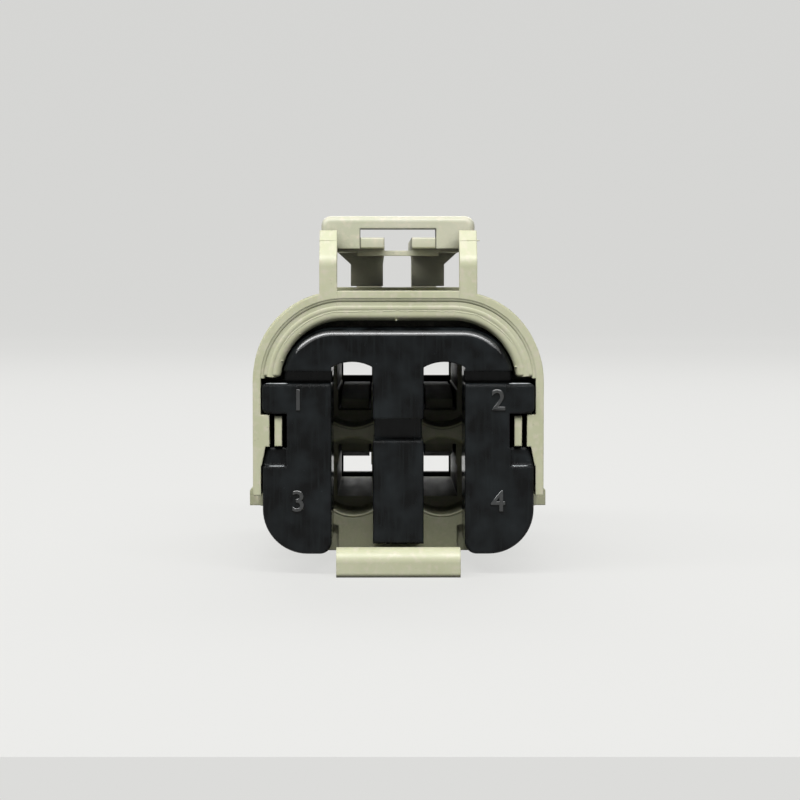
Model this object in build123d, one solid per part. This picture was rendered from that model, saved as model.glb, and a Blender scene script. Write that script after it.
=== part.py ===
from build123d import *
import os

# Sealed four-way wire connector, plug half, in millimetres.
# X across, Y along the connector (wires leave at -Y, the mate enters at +Y), Z up.
# The origin is in the middle of the underside of the rail that it stands on.

# ---- Layout of the circuits ----
LENGTH = 36.0             # tip of the rail to the mouth of the skirt
PITCH = 7.0               # between circuits, across and up
ROW_MID_Z = 10.4          # height midway between the two rows
SEAL_BORE_D = 6.2         # bore for the wire seal of one circuit
SEAL_BORE_DEPTH = 7.0
SEAL_LEAD = 0.15          # lead-in on the mouth of each seal bore
PASSAGE_W = 2.9           # way of the terminal past its lance
PASSAGE_H = 2.6
PASSAGE_SHIFT = 0.9       # the terminal lies this far from the bore's axis, away from the lances
OVERCUT = 1.0             # cutting tools run this far past the faces that they open
SINK = 0.1                # joined details run at least this far into what carries them

# ---- Positions along the connector ----
TIP_Y = -LENGTH / 2
MOUTH_Y = LENGTH / 2
HOLDER_INSET = 1.5        # tip of the rail to the face of the rear holder
COLLAR_INSET = 1.7        # tip of the rail to the rim of the collar
BORE_FACE_INSET = 8.5     # tip of the rail to the face that holds the seal bores
FLANGE_T = 1.7            # wall that ties collar, skirt and tower together
SKIRT_LAP = 0.5           # the skirt starts this far past the bore face
TOWER_INSET = 2.5         # mouth of the skirt to the end of the tower
BACK_WALL_T = 1.0         # wall between a seal bore and its terminal channel

HOLDER_FACE_Y = TIP_Y + HOLDER_INSET
COLLAR_FACE_Y = TIP_Y + COLLAR_INSET
BORE_FACE_Y = TIP_Y + BORE_FACE_INSET
FLANGE_Y = BORE_FACE_Y + FLANGE_T
SKIRT_Y = BORE_FACE_Y + SKIRT_LAP
SEAL_END_Y = BORE_FACE_Y + SEAL_BORE_DEPTH
STEP_Y = SEAL_END_Y + BACK_WALL_T
TOWER_END_Y = MOUTH_Y - TOWER_INSET

# ---- Collar round the rear holder ----
COLLAR_HALF_W = 11.05
COLLAR_TOP_Z = 21.65
COLLAR_R = 6.9
COLLAR_WALL = 0.6
COLLAR_END_Z = 6.1        # the side walls of the collar stop here
RING_T = 1.45             # inner ring of the collar, at the sides
RING_TOP_EXTRA = 0.2      # the ring is this much thicker at the top
RING_END_Z = 15.1
RING_SET_BACK = 0.12
RING_ROUND = 0.45
RING_END_ROUND = 0.25
GUIDE_RIB_T = 0.65        # rib on each collar wall that keys the holder
GUIDE_RIB_HIGH_Z = 12.25
STRIP_T = 0.55            # catch strip that stands in each window of the holder
STRIP_H = 2.3
STRIP_MID_Z = 11.0
STRIP_INNER_X = 8.85

# ---- Skirt round the mate ----
SKIRT_HALF_W = 11.45
SKIRT_TOP_Z = 21.6
SKIRT_TOP_R = 6.8
SKIRT_SHOULDER_Z = 4.6    # the wide part of the skirt ends here
SKIRT_LOW_INSET = 1.45      # the keel is this much narrower than the wide part, each side
SKIRT_LOW_HALF_W = SKIRT_HALF_W - SKIRT_LOW_INSET
SKIRT_LOW_Z = 1.0
SKIRT_LOW_R = 3.8
SKIRT_LOW_EDGE_R = 0.8    # edge of the wide part over the keel
SKIRT_WALL = 1.0
BED_HALF_W = 5.3          # raised bed under the lever, on the roof of the skirt
BED_TOP_Z = 21.9
FOOT_OUT = 0.3            # side rails, proud of the skirt
FOOT_H = 1.4
FOOT_LENGTH = 14.0
KEY_RIB_W = 1.2           # rib on the floor of the keel that keys the mate
KEY_RIB_T = 0.5
KEY_RIB_X = 3.2
CATCH_SLOT_W = 8.2        # slot in the roof of the skirt for the catches and the hooks
CATCH_SLOT_L = 11.7
CATCH_SLOT_R = 0.8
MOUTH_EDGE = 0.3

# ---- Tower with the terminal channels ----
TOWER_REAR_WALL = 0.8     # round the seal bores
TOWER_REAR_R = 3.2
TOWER_HALF_W = 6.0
TOWER_HALF_H = 6.3
TOWER_R = 1.6
FLANGE_LOW_Z = 3.2
LANCE_ROOM = 1.7          # depth of the lance's room beside the passage
LANCE_T = 0.9
LANCE_W = 2.3
LANCE_START = 1.5         # step behind the seal to the root of the lance
LANCE_ROOT = 2.0
LANCE_LENGTH = 6.5
LANCE_RISE = 0.4          # the lance dips this much towards the passage, root to tip
LANCE_SIDE_GAP = 0.2

# ---- Rail that the connector stands on ----
RAIL_HALF_W = 4.7
RAIL_T = 1.1
RAIL_TOP_Z = 2.2           # top of the lip at the tip of the rail
RAIL_LIP_L = 1.6
RAIL_LIP_R = 1.0
RAIL_EDGE_R = 0.35
RAIL_LENGTH = 29.0

# ---- Guard posts of the lever ----
POST_INNER_X = 4.65
POST_W = 1.33
POST_T = 1.3
POST_TOP_T = 1.0
POST_BEND_Z = 24.0
POST_TOP_Z = 26.25
POST_LEAN = 1.6
POST_BEND_R = 1.4

# ---- Lock lever ----
PAD_SET_BACK = 3.3        # collar rim to the rear face of the thumb pad
PAD_HALF_W = 5.92
PAD_TOP_Z = 27.4
PAD_LOW_Z = 24.9
PAD_LENGTH = 4.2
PAD_ROUND = 0.45
PAD_CORNER_R = 0.75
PAD_WINDOW_HALF_W = 2.95
PAD_WINDOW_TOP_Z = 26.45
GRIP_COUNT = 3
GRIP_H = 0.25
GRIP_W = 0.4
GRIP_END = 1.1            # grip grooves stop this far from the sides of the pad
ARM_SLOT_HALF_W = 1.05
ARM_OUTER_X = 4.75
ARM_TIP_X = 3.6
ARM_LOW_Z = 24.65
ARM_T = 1.1
ARM_SET_IN = 0.7          # pad's rear face to the rear ends of the arms
SILL_T = 0.3
SILL_L = 1.0
SILL_LAP = 0.2            # the sill runs this far past the window on each side
LEG_INNER_X = 1.17
LEG_OUTER_X = 3.77
LEG_T = 1.2
LEG_Y = -4.6
LEG_FLARE_H = 0.9
LEG_GAP = 0.1             # under the foot of each leg
HOOK_Y = 9.6
HOOK_L = 2.0
HOOK_FLAT = 0.6
HOOK_LOW_Z = 20.85
HOOK_INNER_X = 1.3
HOOK_OUTER_X = 3.5

# ---- Rear holder ----
HOLDER_GAP = 0.22         # beside the bridge, inside the ring
HOLDER_TOP_GAP = 0.55     # over the bridge
HOLDER_SIDE_GAP = 0.1     # between the tabs and the collar walls
HOLDER_BACK_GAP = 0.1     # in front of the bore face
SLOT_W = 3.14
SLOT_TOP_Z = 15.85
SLOT_ARCH = 0.42
BRIDGE_R = 3.9
BRIDGE_ROUND = 0.85
BRIDGE_LOW_Z = 14.62
TAB_LOW_Z = 12.35
TAB_TOP_R = 0.3
TAB_LOW_R = 0.45
NOTCH_LOW_Z = 9.72
NOTCH_FLAT = 0.25         # level part beside each window, before the shoulder falls away
NOTCH_R = 0.25
SHOULDER_Z = 8.35
SIDE_LEG_INSET = 0.05     # legs of the side bodies, in from the tabs
SIDE_LEG_LOW_Z = 1.65
SIDE_LEG_OUTER_R = 3.4
SIDE_LEG_INNER_R = 0.9
MIDDLE_LEG_GAP = 0.22     # over the rail
WINDOW_CLEAR = 0.4        # round the catch strip, on the inner side
BRIDGE_GROOVE_H = 0.95
BRIDGE_GROOVE_DEPTH = 3.0
LEG_GROOVE_LOW_Z = 10.28
LEG_GROOVE_H = 1.65
LEG_GROOVE_DEPTH = 2.5
LEG_GROOVE_INSET = 0.1    # the leg is this much narrower on each side at its groove
STEP_DEPTH = 0.9          # small step under each window
STEP_INSET = 0.1
FACE_EDGE = 0.12
CORE_WALL = 1.3           # wall left round the cores of the side bodies
CORE_BORE_GAP = 0.2       # cores stay this far out from the seal bores

# ---- Interface seal ----
SEAL_LENGTH = 4.6
SEAL_T = 1.0
SEAL_LIP_COUNT = 3
SEAL_LIP_H = 0.45
SEAL_LIP_W = 0.5
SEAL_CLEAR = 0.02

# ---- Front holder ----
PLATE_T = 1.0
PIN_WINDOW_W = 2.6
PIN_WINDOW_H = 1.8
CLIP_T = 0.8              # side clips, let into the flanks of the tower
CLIP_H = 7.0
CLIP_LENGTH = 4.0
CLIP_SINK = 0.5
CLIP_CLEAR = 0.08
PEG_CLEAR = 0.15
PEG_LENGTH = 5.6

CIRCUITS = [(sx, sz) for sz in (-1, 1) for sx in (-1, 1)]
SIDES = (-1, 1)


def prism(profile, y_from, y_to):
    """Solid of an X-Z profile between two places along Y."""
    return extrude(Plane.XZ.offset(-y_to) * profile, amount=y_to - y_from)


def side_prism(points, x_from, x_to):
    """Solid of a Y-Z outline between two places along X."""
    outline = make_face(Polyline(*[(0, y, z) for y, z in points], close=True))
    return Pos(x_from, 0, 0) * extrude(outline, amount=x_to - x_from, dir=(1, 0, 0))


def block(x_span, y_span, z_span):
    """Box between three pairs of limits."""
    spans = (x_span, y_span, z_span)
    sizes = [high - low for low, high in spans]
    middle = [(high + low) / 2 for low, high in spans]
    return Pos(*middle) * Box(*sizes)


def rounded(half_w, z_low, z_high, r_top, r_low):
    """Upright outline with its own radii at the top and at the bottom."""
    outline = Pos(0, (z_low + z_high) / 2) * Rectangle(2 * half_w, z_high - z_low)
    if r_top:
        outline = fillet(outline.vertices().group_by(Axis.Y)[-1], r_top)
    if r_low:
        outline = fillet(outline.vertices().group_by(Axis.Y)[0], r_low)
    return outline


def mirrored(solid):
    """A solid and its mirror image across the middle plane."""
    return [solid, mirror(solid, about=Plane.YZ)]


def circuit_x(sx):
    return sx * PITCH / 2


def circuit_z(sz):
    return ROW_MID_Z + sz * PITCH / 2


def passage_z(sz):
    return circuit_z(sz) + sz * PASSAGE_SHIFT


def collar_outline(inset, z_low, drop=0.0):
    """Arch of the collar, moved in by an inset and lowered by a drop, down to a height."""
    return rounded(COLLAR_HALF_W - inset, z_low, COLLAR_TOP_Z - inset - drop,
                   COLLAR_R - inset, 0)


def skirt_outline(inset):
    """Wide skirt with a raised bed above and a narrower keel below, moved in by an inset."""
    wide = rounded(SKIRT_HALF_W - inset, SKIRT_SHOULDER_Z + inset, SKIRT_TOP_Z - inset,
                   SKIRT_TOP_R - inset, SKIRT_LOW_EDGE_R)
    keel = rounded(SKIRT_LOW_HALF_W - inset, SKIRT_LOW_Z + inset, ROW_MID_Z,
                   0, SKIRT_LOW_R - inset)
    bed = rounded(BED_HALF_W - inset, ROW_MID_Z, BED_TOP_Z - inset, 0, 0)
    return wide + keel + bed


def tower_rear_outline():
    reach = PITCH / 2 + SEAL_BORE_D / 2 + TOWER_REAR_WALL
    return Pos(0, ROW_MID_Z) * RectangleRounded(2 * reach, 2 * reach, TOWER_REAR_R)


def tower_outline(grow=0.0):
    return Pos(0, ROW_MID_Z) * RectangleRounded(
        2 * (TOWER_HALF_W + grow), 2 * (TOWER_HALF_H + grow), TOWER_R + grow)


def on_arch(edge, inset, drop):
    """True for the edges that lie on the collar's arch at this inset and drop."""
    middle = edge @ 0.5
    across = abs(middle.X) - (COLLAR_HALF_W - COLLAR_R)
    up = middle.Z - (COLLAR_TOP_Z - drop - COLLAR_R)
    reach = (across ** 2 + up ** 2) ** 0.5 if across > 0 and up > 0 else max(across, up)
    return abs(reach - (COLLAR_R - inset)) < SINK / 10


def collar():
    """Thin outer wall, open below, lined by a ring with a rounded inner edge."""
    inner_low = ROW_MID_Z - PITCH
    wall = prism(collar_outline(0, COLLAR_END_Z), COLLAR_FACE_Y, FLANGE_Y)
    wall -= prism(collar_outline(COLLAR_WALL, inner_low), COLLAR_FACE_Y - OVERCUT, BORE_FACE_Y)
    ring_y = COLLAR_FACE_Y + RING_SET_BACK
    inset = COLLAR_WALL + RING_T
    lining = collar_outline(COLLAR_WALL, inner_low)
    lining -= collar_outline(inset, inner_low, RING_TOP_EXTRA)
    lining -= Pos(0, inner_low) * Rectangle(2 * COLLAR_HALF_W, 2 * (RING_END_Z - inner_low))
    ring = prism(lining, ring_y, BORE_FACE_Y)
    front = ring.faces().sort_by(Axis.Y)[0]
    ring = fillet([e for e in front.edges() if on_arch(e, inset, RING_TOP_EXTRA)], RING_ROUND)
    ends = [e for e in ring.edges().filter_by(Axis.Y) if e.center().Z < RING_END_Z + SINK]
    return wall + fillet(ends, RING_END_ROUND)


def catch_details():
    """Guide ribs on the collar walls and the strips that stand in the holder's windows."""
    outer_x = COLLAR_HALF_W - COLLAR_WALL / 2
    inner_x = COLLAR_HALF_W - COLLAR_WALL - GUIDE_RIB_T
    flat_x = inner_x + NOTCH_FLAT + HOLDER_SIDE_GAP / 2
    low_x = COLLAR_HALF_W - COLLAR_WALL - HOLDER_SIDE_GAP / 2
    flat_z = NOTCH_LOW_Z + HOLDER_SIDE_GAP
    rib = prism(make_face(Polyline(
        (outer_x, GUIDE_RIB_HIGH_Z), (inner_x, GUIDE_RIB_HIGH_Z), (inner_x, flat_z),
        (flat_x, flat_z), (low_x, SHOULDER_Z), (outer_x, SHOULDER_Z), close=True)),
        COLLAR_FACE_Y, BORE_FACE_Y + FLANGE_T / 2)
    strip = block((STRIP_INNER_X, STRIP_INNER_X + STRIP_T),
                  (COLLAR_FACE_Y + RING_SET_BACK, BORE_FACE_Y + FLANGE_T / 2),
                  (STRIP_MID_Z - STRIP_H / 2, STRIP_MID_Z + STRIP_H / 2))
    return mirrored(rib) + mirrored(strip)


def skirt():
    """Mating skirt, with side rails, key ribs and the opening for the hooks."""
    body = prism(skirt_outline(0), SKIRT_Y, MOUTH_Y)
    body = chamfer(body.faces().sort_by(Axis.Y)[-1].edges(), MOUTH_EDGE)
    body -= prism(skirt_outline(SKIRT_WALL), FLANGE_Y, MOUTH_Y + OVERCUT)
    slot = block((-CATCH_SLOT_W / 2, CATCH_SLOT_W / 2),
                 (MOUTH_Y - CATCH_SLOT_L, MOUTH_Y + OVERCUT),
                 (SKIRT_TOP_Z - 2 * SKIRT_WALL, BED_TOP_Z + OVERCUT))
    ends = slot.faces().sort_by(Axis.Y)[0].edges().filter_by(Axis.Z)
    body -= fillet(ends, CATCH_SLOT_R)
    foot = block((SKIRT_HALF_W - SKIRT_WALL / 2, SKIRT_HALF_W + FOOT_OUT),
                 (SKIRT_Y, SKIRT_Y + FOOT_LENGTH),
                 (SKIRT_SHOULDER_Z, SKIRT_SHOULDER_Z + FOOT_H))
    top_edge = foot.edges().filter_by(Axis.Y).sort_by(lambda e: e.center().X + e.center().Z)[-1]
    foot = fillet(top_edge, FOOT_OUT)
    floor_z = SKIRT_LOW_Z + SKIRT_WALL
    key = block((KEY_RIB_X - KEY_RIB_W / 2, KEY_RIB_X + KEY_RIB_W / 2),
                (FLANGE_Y, MOUTH_Y - SKIRT_WALL), (SKIRT_LOW_Z + SKIRT_WALL / 2, floor_z + KEY_RIB_T))
    return body + mirrored(foot) + key


def clip_slots(clear):
    """Room of the front holder's two side clips in the flanks of the tower."""
    half_h = CLIP_H / 2 + clear
    slot = block((TOWER_HALF_W - CLIP_SINK - clear, TOWER_HALF_W + OVERCUT),
                 (TOWER_END_Y + PLATE_T - CLIP_LENGTH - clear, TOWER_END_Y + OVERCUT),
                 (ROW_MID_Z - half_h, ROW_MID_Z + half_h))
    return mirrored(slot)


def tower():
    """Flange, seal-bore block and terminal block."""
    body = prism(tower_rear_outline(), BORE_FACE_Y, STEP_Y)
    body += prism(tower_outline(), STEP_Y, TOWER_END_Y)
    body -= clip_slots(CLIP_CLEAR)
    flange = collar_outline(0, FLANGE_LOW_Z)
    return body + prism(flange & skirt_outline(0), BORE_FACE_Y, FLANGE_Y)


def seal_bores():
    """The four seal bores, each with its lead-in, as one cutting tool."""
    tools = []
    for sx, sz in CIRCUITS:
        place = Plane((circuit_x(sx), BORE_FACE_Y, circuit_z(sz)), z_dir=(0, 1, 0))
        bore = extrude(place * Circle(SEAL_BORE_D / 2), amount=SEAL_BORE_DEPTH)
        lead = place * Cone(SEAL_BORE_D / 2 + SEAL_LEAD, SEAL_BORE_D / 2, SEAL_LEAD,
                            align=(Align.CENTER, Align.CENTER, Align.MIN))
        tools += [bore, lead]
    return tools


def lance_span(sz, near, far):
    """Heights of a slice of the lance's room, counted from the passage towards the middle."""
    edge = passage_z(sz) - sz * PASSAGE_H / 2
    return tuple(sorted((edge - sz * near, edge - sz * far)))


def lance(x, sz):
    """Springy lock of one terminal: it leaves the wall between the rows and dips to its tip."""
    edge = passage_z(sz) - sz * PASSAGE_H / 2
    root_y = STEP_Y + LANCE_START
    tip_y = root_y + LANCE_LENGTH
    profile = [(root_y, LANCE_ROOM + SINK), (root_y + LANCE_ROOT, LANCE_ROOM + SINK),
               (root_y + LANCE_ROOT, LANCE_T + LANCE_RISE), (tip_y, LANCE_T),
               (tip_y, 0), (root_y, LANCE_T)]
    return side_prism([(y, edge - sz * up) for y, up in profile],
                      x - LANCE_W / 2, x + LANCE_W / 2)


def terminal_channels(body):
    """Cut each terminal's passage and the room of its lance, then put the lance in."""
    room_w = LANCE_W + 2 * LANCE_SIDE_GAP
    span_y = (SEAL_END_Y - SINK, TOWER_END_Y + OVERCUT)
    for sx, sz in CIRCUITS:
        x = circuit_x(sx)
        z = passage_z(sz)
        body -= block((x - PASSAGE_W / 2, x + PASSAGE_W / 2), span_y,
                      (z - PASSAGE_H / 2, z + PASSAGE_H / 2))
        body -= block((x - room_w / 2, x + room_w / 2), span_y, lance_span(sz, -SINK, LANCE_ROOM))
        body += lance(x, sz)
    return body


def rail():
    """Rail under the housing; its rear tip turns up into a lip, and a web carries the bore face."""
    lip = block((-RAIL_HALF_W, RAIL_HALF_W), (TIP_Y, TIP_Y + RAIL_LIP_L), (0, RAIL_TOP_Z))
    top = lip.faces().sort_by(Axis.Z)[-1].edges().filter_by(Axis.X).sort_by(Axis.Y)
    lip = fillet(top[0], RAIL_LIP_R)
    rear_top = lip.faces().sort_by(Axis.Y)[-1].edges().sort_by(Axis.Z)[-1]
    lip = fillet(rear_top, RAIL_EDGE_R)
    low = lip.faces().sort_by(Axis.Y)[0].edges().sort_by(Axis.Z)[0]
    lip = fillet(low, RAIL_EDGE_R)
    plate = block((-RAIL_HALF_W, RAIL_HALF_W), (TIP_Y + RAIL_LIP_L / 2, FLANGE_Y), (0, RAIL_T))
    web = block((-RAIL_HALF_W, RAIL_HALF_W), (BORE_FACE_Y, FLANGE_Y),
                (0, FLANGE_LOW_Z + TOWER_REAR_WALL / 2))
    front = block((-RAIL_HALF_W, RAIL_HALF_W), (FLANGE_Y, TIP_Y + RAIL_LENGTH),
                  (0, SKIRT_LOW_Z + SKIRT_WALL / 2))
    end_low = front.faces().sort_by(Axis.Y)[-1].edges().sort_by(Axis.Z)[0]
    front = chamfer(end_low, SKIRT_LOW_Z / 2)
    return lip + plate + web + front


def posts():
    """Guard posts that rise from the collar and lean over towards the pad."""
    front = COLLAR_FACE_Y
    root_z = COLLAR_TOP_Z - COLLAR_WALL
    points = [(front, root_z), (front, POST_BEND_Z), (front + POST_LEAN, POST_TOP_Z),
              (front + POST_LEAN + POST_TOP_T, POST_TOP_Z),
              (front + POST_T, POST_BEND_Z - POST_T / 2), (front + POST_T, root_z)]
    post = side_prism(points, POST_INNER_X, POST_INNER_X + POST_W)
    bends = [e for e in post.edges().filter_by(Axis.X)
             if abs(e.center().Z - POST_BEND_Z) < POST_T]
    post = fillet(bends, POST_BEND_R)
    return mirrored(post)


def housing():
    body = collar() + skirt() + tower()
    for detail in catch_details():
        body += detail
    body -= seal_bores()
    body = terminal_channels(body)
    body += rail()
    body += posts()
    return body


def lever_pad():
    """Thumb pad, raised over the arms as a bridge with a window."""
    rear = COLLAR_FACE_Y + PAD_SET_BACK
    pad = prism(rounded(PAD_HALF_W, PAD_LOW_Z, PAD_TOP_Z, PAD_CORNER_R, 0),
                rear, rear + PAD_LENGTH)
    rim = [e for e in pad.faces().sort_by(Axis.Y)[0].edges()
           if e.center().Z > (PAD_LOW_Z + PAD_TOP_Z) / 2 + SINK]
    pad = fillet(rim, PAD_ROUND)
    pad -= block((-PAD_WINDOW_HALF_W, PAD_WINDOW_HALF_W),
                 (rear - OVERCUT, rear + PAD_LENGTH + OVERCUT),
                 (PAD_LOW_Z - OVERCUT, PAD_WINDOW_TOP_Z))
    step = (PAD_LENGTH - 2 * PAD_ROUND) / GRIP_COUNT
    for i in range(GRIP_COUNT):
        y = rear + PAD_ROUND + (i + 0.5) * step
        pad -= block((-PAD_HALF_W + GRIP_END, PAD_HALF_W - GRIP_END),
                     (y - GRIP_W / 2, y + GRIP_W / 2),
                     (PAD_TOP_Z - GRIP_H, PAD_TOP_Z + OVERCUT))
    return pad


def lever_arm():
    """Right arm: flat beam with a leg under it and a hook at its tip."""
    rear = COLLAR_FACE_Y + PAD_SET_BACK + ARM_SET_IN
    tip = HOOK_Y + HOOK_L
    plan = make_face(Polyline((ARM_SLOT_HALF_W, rear), (ARM_OUTER_X, rear),
                              (ARM_OUTER_X, LEG_Y + 2 * LEG_T), (ARM_TIP_X, HOOK_Y - HOOK_L),
                              (ARM_TIP_X, tip), (ARM_SLOT_HALF_W, tip), close=True))
    arm = Pos(0, 0, ARM_LOW_Z) * extrude(plan, amount=ARM_T)
    foot_z = BED_TOP_Z + LEG_GAP
    top_z = ARM_LOW_Z + ARM_T / 2
    flare_z = ARM_LOW_Z - LEG_FLARE_H
    leg = make_face(Polyline((LEG_INNER_X, foot_z), (LEG_OUTER_X, foot_z),
                             (LEG_OUTER_X, flare_z), (ARM_OUTER_X, ARM_LOW_Z),
                             (ARM_OUTER_X, top_z), (ARM_SLOT_HALF_W, top_z),
                             (ARM_SLOT_HALF_W, ARM_LOW_Z), (LEG_INNER_X, flare_z), close=True))
    arm += prism(leg, LEG_Y - LEG_T / 2, LEG_Y + LEG_T / 2)
    nose = [(HOOK_Y, top_z), (HOOK_Y, HOOK_LOW_Z), (HOOK_Y + HOOK_FLAT, HOOK_LOW_Z),
            (tip, HOOK_LOW_Z + HOOK_L), (tip, top_z)]
    return arm + side_prism(nose, HOOK_INNER_X, HOOK_OUTER_X)


def lock_lever():
    """See-saw lever: thumb pad behind the posts, two arms, two legs and two hooks."""
    rear = COLLAR_FACE_Y + PAD_SET_BACK + ARM_SET_IN
    half_w = PAD_WINDOW_HALF_W + SILL_LAP
    sill = block((-half_w, half_w), (rear, rear + SILL_L), (ARM_LOW_Z - SILL_T, ARM_LOW_Z + SINK))
    return lever_pad() + mirrored(lever_arm()) + sill


def round_corners(solid, corners):
    """Round the edges along Y of a prism that are nearest to each x, z, by its radius."""
    for x, z, radius in corners:
        edges = solid.edges().filter_by(Axis.Y)
        edge = edges.sort_by(lambda e: abs(e.center().X - x) + abs(e.center().Z - z))[0]
        solid = fillet(edge, radius)
    return solid


def holder_side(y_from, y_to):
    """Right-hand side body of the rear holder."""
    tab_x = COLLAR_HALF_W - COLLAR_WALL - HOLDER_SIDE_GAP
    leg_x = tab_x - SIDE_LEG_INSET
    notch_x = tab_x - GUIDE_RIB_T
    inner = PITCH / 2 + SLOT_W / 2
    profile = make_face(Polyline(
        (inner, SIDE_LEG_LOW_Z), (leg_x, SIDE_LEG_LOW_Z), (leg_x, SHOULDER_Z),
        (notch_x + NOTCH_FLAT, NOTCH_LOW_Z), (notch_x, NOTCH_LOW_Z), (notch_x, TAB_LOW_Z),
        (tab_x, TAB_LOW_Z), (tab_x, BRIDGE_LOW_Z), (inner, BRIDGE_LOW_Z), close=True))

    body = round_corners(prism(profile, y_from, y_to), (
        (leg_x, SIDE_LEG_LOW_Z, SIDE_LEG_OUTER_R), (inner, SIDE_LEG_LOW_Z, SIDE_LEG_INNER_R),
        (tab_x, BRIDGE_LOW_Z, TAB_TOP_R), (tab_x, TAB_LOW_Z, TAB_LOW_R),
        (notch_x + NOTCH_FLAT, NOTCH_LOW_Z, NOTCH_R)))
    return chamfer(body.faces().sort_by(Axis.Y)[0].edges(), FACE_EDGE)


def slot_profile(sx):
    """Slot over one column of bores: open below, arched above."""
    x = circuit_x(sx)
    low = RAIL_TOP_Z + MIDDLE_LEG_GAP
    left, right = x - SLOT_W / 2, x + SLOT_W / 2
    return make_face(Polyline((left, SLOT_TOP_Z), (left, low), (right, low), (right, SLOT_TOP_Z))
                     + ThreePointArc((right, SLOT_TOP_Z), (x, SLOT_TOP_Z + SLOT_ARCH),
                                     (left, SLOT_TOP_Z)))


def comb(y_from, y_to):
    """Bridge with a rounded arch, two side bodies and a middle leg."""
    inset = COLLAR_WALL + RING_T + HOLDER_GAP
    top = COLLAR_TOP_Z - COLLAR_WALL - RING_T - RING_TOP_EXTRA - HOLDER_TOP_GAP
    bridge = prism(rounded(COLLAR_HALF_W - inset, BRIDGE_LOW_Z, top, BRIDGE_R, 0), y_from, y_to)
    arch = [e for e in bridge.faces().sort_by(Axis.Y)[0].edges()
            if e.center().Z > BRIDGE_LOW_Z + SINK]
    body = fillet(arch, BRIDGE_ROUND)
    side = holder_side(y_from, y_to)
    body += side
    body += mirror(side, about=Plane.YZ)
    leg_top = SLOT_TOP_Z + SLOT_ARCH
    leg = prism(rounded((PITCH - SLOT_W) / 2, RAIL_TOP_Z + MIDDLE_LEG_GAP, leg_top, 0, 0),
                y_from, y_to)
    rim = [e for e in leg.faces().sort_by(Axis.Y)[0].edges() if e.center().Z < leg_top - SINK]
    body += chamfer(rim, FACE_EDGE)
    for sx in SIDES:
        body -= prism(slot_profile(sx), y_from - OVERCUT, y_to + OVERCUT)
    return body


def rear_holder():
    """Black comb that keeps the wire seals in; it pushes into the collar from the rear."""
    y0 = HOLDER_FACE_Y
    y1 = BORE_FACE_Y - HOLDER_BACK_GAP
    body = comb(y0, y1)
    half_w = COLLAR_HALF_W
    window_in = STRIP_INNER_X - WINDOW_CLEAR
    middle_half = (PITCH - SLOT_W) / 2
    groove = block(((PITCH + SLOT_W) / 2 - SINK, half_w), (y0 - OVERCUT, y0 + BRIDGE_GROOVE_DEPTH),
                   (BRIDGE_LOW_Z, BRIDGE_LOW_Z + BRIDGE_GROOVE_H))
    window = block((window_in, half_w), (y0 - OVERCUT, y1 + OVERCUT), (NOTCH_LOW_Z, TAB_LOW_Z))
    step = side_prism([(y0 - OVERCUT, SHOULDER_Z), (y0 + STEP_DEPTH / 2, SHOULDER_Z),
                       (y0 + STEP_DEPTH, NOTCH_LOW_Z + SINK), (y0 - OVERCUT, NOTCH_LOW_Z + SINK)],
                      window_in + STEP_INSET, half_w)
    core = block((PITCH / 2 + SEAL_BORE_D / 2 + CORE_BORE_GAP,
                  COLLAR_HALF_W - COLLAR_WALL - HOLDER_SIDE_GAP - CORE_WALL),
                 (y0 + CORE_WALL, y1 + OVERCUT),
                 (SIDE_LEG_LOW_Z + SIDE_LEG_OUTER_R, SHOULDER_Z))
    leg_side = block((middle_half - LEG_GROOVE_INSET, middle_half + SINK),
                     (y0 - OVERCUT, y1 + OVERCUT),
                     (LEG_GROOVE_LOW_Z, LEG_GROOVE_LOW_Z + LEG_GROOVE_H))
    for tool in (groove, window, step, core, leg_side):
        body -= mirrored(tool)
    return body - block((-middle_half, middle_half), (y0 - OVERCUT, y0 + LEG_GROOVE_DEPTH),
                        (LEG_GROOVE_LOW_Z, LEG_GROOVE_LOW_Z + LEG_GROOVE_H))


def interface_seal():
    """Silicone ring with lips, on the tower against its step."""
    y0 = STEP_Y + SEAL_CLEAR
    ring = prism(tower_outline(SEAL_T), y0, y0 + SEAL_LENGTH)
    step = SEAL_LENGTH / SEAL_LIP_COUNT
    for i in range(SEAL_LIP_COUNT):
        y = y0 + (i + 0.5) * step
        ring += prism(tower_outline(SEAL_T + SEAL_LIP_H), y - SEAL_LIP_W / 2, y + SEAL_LIP_W / 2)
    return ring - prism(tower_outline(SEAL_CLEAR), y0 - OVERCUT, y0 + SEAL_LENGTH + OVERCUT)


def front_holder():
    """Plate on the tower's end: pin windows, two side clips and pegs that block the lances."""
    y0 = TOWER_END_Y
    plate = prism(tower_outline(), y0 + CLIP_CLEAR, y0 + PLATE_T)
    inner_x = TOWER_HALF_W - CLIP_SINK
    clip = block((inner_x, inner_x + CLIP_T), (y0 + PLATE_T - CLIP_LENGTH, y0 + PLATE_T),
                 (ROW_MID_Z - CLIP_H / 2, ROW_MID_Z + CLIP_H / 2))
    plate += mirrored(clip)
    for sx, sz in CIRCUITS:
        x = circuit_x(sx)
        z = passage_z(sz)
        plate += block((x - LANCE_W / 2, x + LANCE_W / 2), (y0 - PEG_LENGTH, y0 + PLATE_T / 2),
                       lance_span(sz, PEG_CLEAR, LANCE_ROOM - PEG_CLEAR))
        plate -= block((x - PIN_WINDOW_W / 2, x + PIN_WINDOW_W / 2),
                       (y0 - OVERCUT, y0 + PLATE_T + OVERCUT),
                       (z - PIN_WINDOW_H / 2, z + PIN_WINDOW_H / 2))
    return plate


NODES = {
    "housing": housing,
    "lock_lever": lock_lever,
    "rear_holder": rear_holder,
    "interface_seal": interface_seal,
    "front_holder": front_holder,
}

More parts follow.
